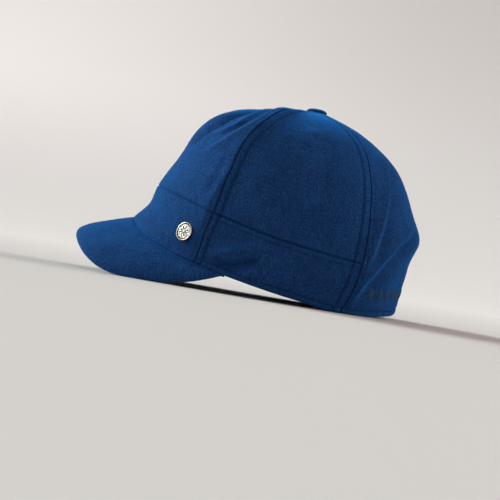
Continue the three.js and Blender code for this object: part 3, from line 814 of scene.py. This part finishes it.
def add_nap(name, outer, normals):
    """Loose fibre ends standing a little off the cloth's face, as fine closed spikes in one mesh."""
    cells = np.stack([outer[:-1, :-1], outer[:-1, 1:], outer[1:, :-1]])
    area = np.linalg.norm(np.cross(cells[1] - cells[0], cells[2] - cells[0]), axis=-1)
    count = int(area.sum() * NAP_PER_MM2)
    cell = chance.choice(area.size, count, p=(area / area.sum()).ravel())
    row, column = np.unravel_index(cell, area.shape)
    s, t = chance.random((2, count, 1))
    place = cells[0][row, column] * (1 - s - t) + cells[1][row, column] * s + cells[2][row, column] * t
    upward = normals[row, column]
    turn = chance.uniform(0, math.tau, (count, 1))
    lean = np.radians(chance.uniform(*NAP_ANGLE, (count, 1)))
    first = unit(np.cross(upward, SLANT))
    flat = first * np.cos(turn) + np.cross(upward, first) * np.sin(turn)
    axis = flat * np.cos(lean) + upward * np.sin(lean)
    side = unit(np.cross(axis, upward))
    other = np.cross(axis, side)
    root = place - upward * NAP_ROOT
    thirds = (0, math.tau / 3, 2 * math.tau / 3)
    corners = [root + (side * math.cos(angle) + other * math.sin(angle)) * NAP_RADIUS for angle in thirds]
    tip = root + axis * chance.uniform(*NAP_LENGTH, (count, 1))
    points = np.stack(corners + [tip], 1)
    points[..., 2] = np.maximum(points[..., 2], 0)
    faces = np.array([(0, 2, 1), (0, 1, 3), (1, 2, 3), (2, 0, 3)]) + 4 * np.arange(count)[:, None, None]
    mesh = bpy.data.meshes.new(name)
    mesh.from_pydata(points.reshape(-1, 3) * MM, [], faces.reshape(-1, 3).tolist())
    # random pale fibres, their lighter colour partly painted light shining through them
    mark(mesh, "pale", np.repeat(chance.random(count) ** 2, 4))
    add_piece(mesh, nap, WOOL)


def add_crown():
    """The crown's panels and bands with their nap and topstitching."""
    rows = []
    for name, (start, end, low, high, sewn) in PANELS.items():
        panel = Panel(start, end, low, high, sewn)
        add_piece(sheet_mesh(name + "_cloth", panel.outer, panel.inner, panel.painted_shade_and_patina), wool, WOOL, name)
        add_nap(name + "_nap", panel.outer, panel.normals)
        rows += [panel.row_at(edge) for edge in sewn]
    add_stitches("topstitching", rows)


PEAK_END = 73.5
PEAK_TAPER = 16  # degrees over which it thins towards its ends
PEAK_THICK = 3.6
PEAK_THIN = 1.2
PEAK_TUCK = 3  # width of the strip tucked behind the band
PEAK_LIP = 2.6  # how far that strip's edge is turned up
LIP_FADE = (50, 56)  # azimuths between which the turned-up edge ends
PEAK_STRAIGHT = 0.72  # share of its drop that is even; the rest comes late
PEAK_CURL = 5
PEAK_ROUND = 0.07  # share of its reach that is its rounded edge
PEAK_FACE = 0.92  # where the rows of its face start, just inside the rounded edge
PEAK_EDGE = 0.002  # keeps the rounded edge from closing to nothing
PEAK_CALM = 1 / 3  # share of its reach over which the unevenness sets in
PEAK_COLUMNS = 260
PEAK_ROWS = 32
EDGE_ROWS = 10
TUCK_ROWS = (-0.4, -0.82, -1)
PEAK_TURN_STEP = 0.5
PEAK_OUT_STEP = 0.01
ROOT_LIFT = 0.1
# painted shade in the crease where the peak meets the band
ROOT_SHADE = 0.5
ROOT_FADE = (0.3, 2.6)  # distance from the band where its painted shade fades


def peak_middle(azimuth, out, thickness):
    """The peak's middle surface. Out is 1 at its edge, 0 at the crown's and -1 at the tucked strip's end."""
    hem = crown_form(azimuth, 0)
    around = crown_form(azimuth + PEAK_TURN_STEP, 0) - crown_form(azimuth - PEAK_TURN_STEP, 0)
    away = unit(np.stack([around[..., 1], -around[..., 0], 0 * around[..., 0]], -1))
    half = half_turn(azimuth)
    reach = curve(PEAK, "azimuth", "reach", half, level_start=True)
    edge_z = curve(PEAK, "azimuth", "z", half, level_start=True)
    root_z = hem[..., 2] + ROOT_LIFT - thickness / 2
    s = np.maximum(out, 0)
    drop = PEAK_STRAIGHT * s + (1 - PEAK_STRAIGHT) * s**PEAK_CURL
    points = hem + away * np.where(out < 0, out * PEAK_TUCK, out * reach)[..., None]
    points[..., 2] = root_z + (edge_z - root_z) * drop
    return points


def add_peak():
    """The peak of one doubled cloth, with a rounded edge and a strip tucked behind the band."""
    edge = 1 - PEAK_ROUND * (1 - np.cos(np.linspace(0, math.pi / 2, EDGE_ROWS)))
    out = np.concatenate([edge, np.linspace(PEAK_FACE, 0, PEAK_ROWS), TUCK_ROWS])
    azimuth, out = np.broadcast_arrays(np.linspace(-PEAK_END, PEAK_END, PEAK_COLUMNS), out[:, None])
    thickness = PEAK_THIN + (PEAK_THICK - PEAK_THIN) * smoothstep(PEAK_END - np.abs(azimuth), 0, PEAK_TAPER)
    middle = peak_middle(azimuth, out, thickness)
    left = peak_middle(azimuth + PEAK_TURN_STEP, out, thickness)
    right = peak_middle(azimuth - PEAK_TURN_STEP, out, thickness)
    inner = peak_middle(azimuth, out - PEAK_OUT_STEP, thickness)
    outer = peak_middle(azimuth, out + PEAK_OUT_STEP, thickness)
    normals = unit(np.cross(left - right, inner - outer))
    normals[out <= 0] = (0, 0, 1)
    rounded = np.clip((out - 1 + PEAK_ROUND) / PEAK_ROUND, 0, 1)
    half = thickness / 2 * np.sqrt(np.maximum(1 - rounded**2, PEAK_EDGE))
    waves = uneven(middle, PEAK_WAVES) * np.clip(out / PEAK_CALM, 0, 1)
    top = middle + normals * (half + waves)[..., None]
    under = middle + normals * (waves - half)[..., None]
    lip = PEAK_LIP * (out == TUCK_ROWS[-1]) * (1 - smoothstep(half_turn(azimuth), *LIP_FADE))
    top[..., 2] = np.maximum(top[..., 2] + lip, 0)
    under[..., 2] = np.maximum(under[..., 2], 0)
    reach = curve(PEAK, "azimuth", "reach", half_turn(azimuth), level_start=True)
    # painted shade along the crease at the peak's root
    root = ROOT_SHADE * (1 - smoothstep(out * reach, *ROOT_FADE))
    add_piece(sheet_mesh("peak_cloth", top, under, root), wool, WOOL, "peak")
    outside = slice(-len(TUCK_ROWS))
    add_nap("peak_nap", top[outside], normals[outside])


BUTTON_RADIUS = 7.7
BUTTON_HEIGHT = 4
BUTTON_Y = 35
BUTTON_SEAT = 144.7
BUTTON_STEPS = 72
# the whole button is painted darker as shade
BUTTON_SHADE = 0.35
DOME_FOOT = 1.1  # height where the dome starts
DOME_FULLNESS = 0.8  # below 1 its shoulder is fuller than a ball's
DOME_STEP = 9
BUTTON_TURN = ((0.15, 0.6), (0.7, 0.15), (1.6, 0))  # lower rim: distances in from the radius, and heights
UNDER_FLAT = 0.05  # up to this height the underside stays flat
GATHERS = 11
GATHER_DEPTH = 0.16
GATHER_SWAY = 2.2
GATHER_SWAYS = 3  # how many times round they lie closer together
GATHER_FADE = (3, BUTTON_RADIUS)
COVER_HEIGHT = 0.25
COVER_LENGTH = 4
COVER_START = Vector((3, 1, 8))


def add_top_button():
    """A cloth-covered dome with the slight gathers of its cover, all of it painted darker as shade."""
    turn = [math.radians(angle) for angle in range(90, -1, -DOME_STEP)]
    rise = BUTTON_HEIGHT - DOME_FOOT
    dome = [(BUTTON_RADIUS * math.cos(a) ** DOME_FULLNESS, DOME_FOOT + rise * math.sin(a)) for a in turn]
    under = [(BUTTON_RADIUS - inward, height) for inward, height in BUTTON_TURN]
    shape = turned(dome + under + [(0, 0)], BUTTON_STEPS)
    for vert in shape.verts:
        angle = math.atan2(vert.co.y, vert.co.x)
        rim = smoothstep(vert.co.xy.length, *GATHER_FADE) * (vert.co.z > UNDER_FLAT)
        wave = math.sin(GATHERS * angle + GATHER_SWAY * math.sin(GATHER_SWAYS * angle))
        gather = GATHER_DEPTH * wave * rim
        soft = COVER_HEIGHT * noise.noise(vert.co / COVER_LENGTH + COVER_START) * rim
        vert.co += vert.co.normalized() * (gather + soft)
    bmesh.ops.scale(shape, vec=(MM, MM, MM), verts=shape.verts[:])
    bmesh.ops.translate(shape, vec=(0, BUTTON_Y * MM, BUTTON_SEAT * MM), verts=shape.verts[:])
    mesh = to_mesh("top_button_cover", shape)
    # painted shade over the whole button
    mark(mesh, "painted_shade_and_patina", [BUTTON_SHADE] * len(mesh.vertices))
    add_piece(mesh, wool, WOOL, "top_button")


BADGE_AZIMUTH = 48.9
BADGE_UP = 0.091
BADGE_STAND = 0.75
BADGE_LEAN = 0.18  # how much it faces upwards
BADGE_STEPS = 160
BADGE_PROFILE = [
    # radius and height of the disc from its middle to its back
    (0, 1.55), (0.5, 1.55), (0.9, 1.52), (1.1, 1.38), (1.3, 1.34), (1.5, 1.4), (1.8, 1.42), (2.2, 1.42),
    (2.6, 1.41), (3, 1.4), (3.4, 1.39), (3.8, 1.38), (4.2, 1.36), (4.6, 1.34), (5, 1.3), (5.3, 1.26),
    (5.5, 1.1), (5.62, 1), (5.82, 1), (5.95, 1.12), (6.1, 1.46), (6.3, 1.63), (6.55, 1.68), (6.8, 1.6),
    (7, 1.36), (7.1, 1.1), (7.12, 0.7), (7.02, 0.25), (6.7, 0), (0, 0),
]
DARK_RINGS = ((5.72, 0.36), (1.25, 0.24))  # radius and width
SHADE_BEYOND = 7.05  # radius from which the badge's side is painted dark as shade
# height below which the badge's foot is painted dark as shade
SHADE_BELOW = 0.6
FIELD_ABOVE = 1  # the petals are cut only above this height
PETALS = 8
PETAL_START = 1.5
PETAL_LENGTH = 3.4
PETAL_HALF = 1.12
PETAL_OUT = 1.15  # above 1 its widest place lies further out
PETAL_FULLNESS = 0.7
LINE_WIDTH = 0.27
LINE_DEPTH = 0.28


def petal_line(x, y):
    """How deep the line round a petal is at a point of the badge's field, between 0 and 1."""
    radius = math.hypot(x, y)
    turn = (math.atan2(y, x) * PETALS / math.tau + 0.5) % 1 - 0.5
    across = abs(turn) * math.tau / PETALS * radius
    along = (radius - PETAL_START) / PETAL_LENGTH
    if not 0 < along < 1:
        return 0
    half = PETAL_HALF * math.sin(math.pi * along**PETAL_OUT) ** PETAL_FULLNESS
    return bell(across, half, LINE_WIDTH)


def bell(at, middle, width):
    return math.exp(-(((at - middle) / width) ** 2))


def add_badge():
    """A small cast disc: rounded rim, dark ring, and a rosette of eight petals; patina darkens its rings and
    lines, painted shade its side.
    """
    shape = turned(BADGE_PROFILE, BADGE_STEPS)
    dark = []
    for vert in shape.verts:
        radius = vert.co.xy.length
        line = petal_line(vert.co.x, vert.co.y) if vert.co.z > FIELD_ABOVE else 0
        rings = sum(bell(radius, *ring) for ring in DARK_RINGS)
        # the side and foot get painted shade; the rings and petal lines are patina
        side = radius > SHADE_BEYOND or vert.co.z < SHADE_BELOW
        dark.append(1 if side else min(1, line + rings))
        vert.co.z -= LINE_DEPTH * line
    point, normal = [Vector(part) for part in cloth(np.array(BADGE_AZIMUTH), np.array(BADGE_UP))]
    facing = (normal + Vector((0, 0, BADGE_LEAN))).normalized()
    place = frame_of(Vector((0, 0, 1)), facing, point + normal * BADGE_STAND)
    bmesh.ops.transform(shape, matrix=place @ Matrix.Scale(MM, 4), verts=shape.verts[:])
    mesh = to_mesh("badge_disc", shape)
    mark(mesh, "painted_shade_and_patina", dark)
    add_piece(mesh, silver, METAL, "badge")


LOZENGES = 15
LOZENGE_PITCH = 9.4
LOZENGE_WIDE = 7.8
LOZENGE_TALL = 10.6
LOZENGE_UP = 0.086
LOZENGE_RISE = 0.75
LOZENGE_SUNK = 0.1
LOZENGE_CREST = 3  # a higher number makes it flatter on top and steeper at its edges
LOZENGE_CELLS = 8
BACK_ARC = (125, 235)  # azimuths between which the row lies
BACK_SAMPLES = 400


def add_embroidery():
    """A row of padded lozenges in satin stitch along the back of the lower edge."""
    azimuth = np.linspace(*BACK_ARC, BACK_SAMPLES)
    run = run_of(cloth(azimuth, np.full(azimuth.shape, LOZENGE_UP))[0])
    middles = np.interp(180, azimuth, run) + (np.arange(LOZENGES) - (LOZENGES - 1) / 2) * LOZENGE_PITCH
    shape = bmesh.new()
    for _ in range(LOZENGES):
        bmesh.ops.create_grid(shape, x_segments=LOZENGE_CELLS, y_segments=LOZENGE_CELLS, size=1)
    mesh = to_mesh("embroidered_lozenges", shape)
    flat = np.empty(len(mesh.vertices) * 3)
    mesh.vertices.foreach_get("co", flat)
    flat = flat.reshape(LOZENGES, -1, 3)
    s, t = flat[..., 0], flat[..., 1]
    here = np.interp(middles[:, None] + (s + t) / 4 * LOZENGE_WIDE, run, azimuth)
    rise = (t - s) / 4 * LOZENGE_TALL
    points, normals = cloth(here, LOZENGE_UP + rise / MM_PER_UP)
    pad = LOZENGE_RISE * (1 - np.maximum(np.abs(s), np.abs(t)) ** LOZENGE_CREST) - LOZENGE_SUNK
    lift = pad + uneven(points, SOFT_WAVES)
    mesh.vertices.foreach_set("co", ((points + normals * lift[..., None]) * MM).ravel())
    mark(mesh, "strand", rise.ravel())
    add_piece(mesh, back_thread, WOOL)


FRONT_ROWS = {"start": FRONT_ROW, "end": FRONT_ROW}
LEFT_ROWS = {"start": SIDE_ROW, "end": SIDE_BACK_ROW}
RIGHT_ROWS = {"start": SIDE_BACK_ROW, "end": SIDE_ROW}
BAND_ROWS = {"high": BAND_ROW, "low": HEM_ROW}
BACK_ROWS = {"start": BACK_ROW, "end": BACK_ROW, "low": HEM_ROW}
PANELS = {
    # first seam, second seam, lower and upper end, rows of stitches
    "front_panel": (front_right, front_left, BAND_UP, TOP_UP, FRONT_ROWS),
    "front_band": (front_right, front_left, 0, BAND_UP, FRONT_ROWS),
    "side_panel_left": (front_left, back_left, BAND_UP, TOP_UP, LEFT_ROWS),
    "side_panel_right": (back_right, front_right, BAND_UP, TOP_UP, RIGHT_ROWS),
    "side_band_left": (front_left, back_left, 0, BAND_UP, LEFT_ROWS | BAND_ROWS),
    "side_band_right": (back_right, front_right, 0, BAND_UP, RIGHT_ROWS | BAND_ROWS),
    "back_panel": (back_left, back_round, 0, TOP_UP, BACK_ROWS),
}

add_camera()
add_stage()
add_lights()
bpy.context.scene.view_settings.view_transform = "Standard"

wool = wool_finish("felted_wool")
nap = nap_finish("wool_nap")
same_thread = thread_finish("blue_thread", SAME_THREAD)
back_thread = thread_finish("grey_blue_thread", BACK_THREAD)
silver = metal_finish("old_silver")
add_crown()
add_peak()
add_top_button()
add_badge()
add_embroidery()
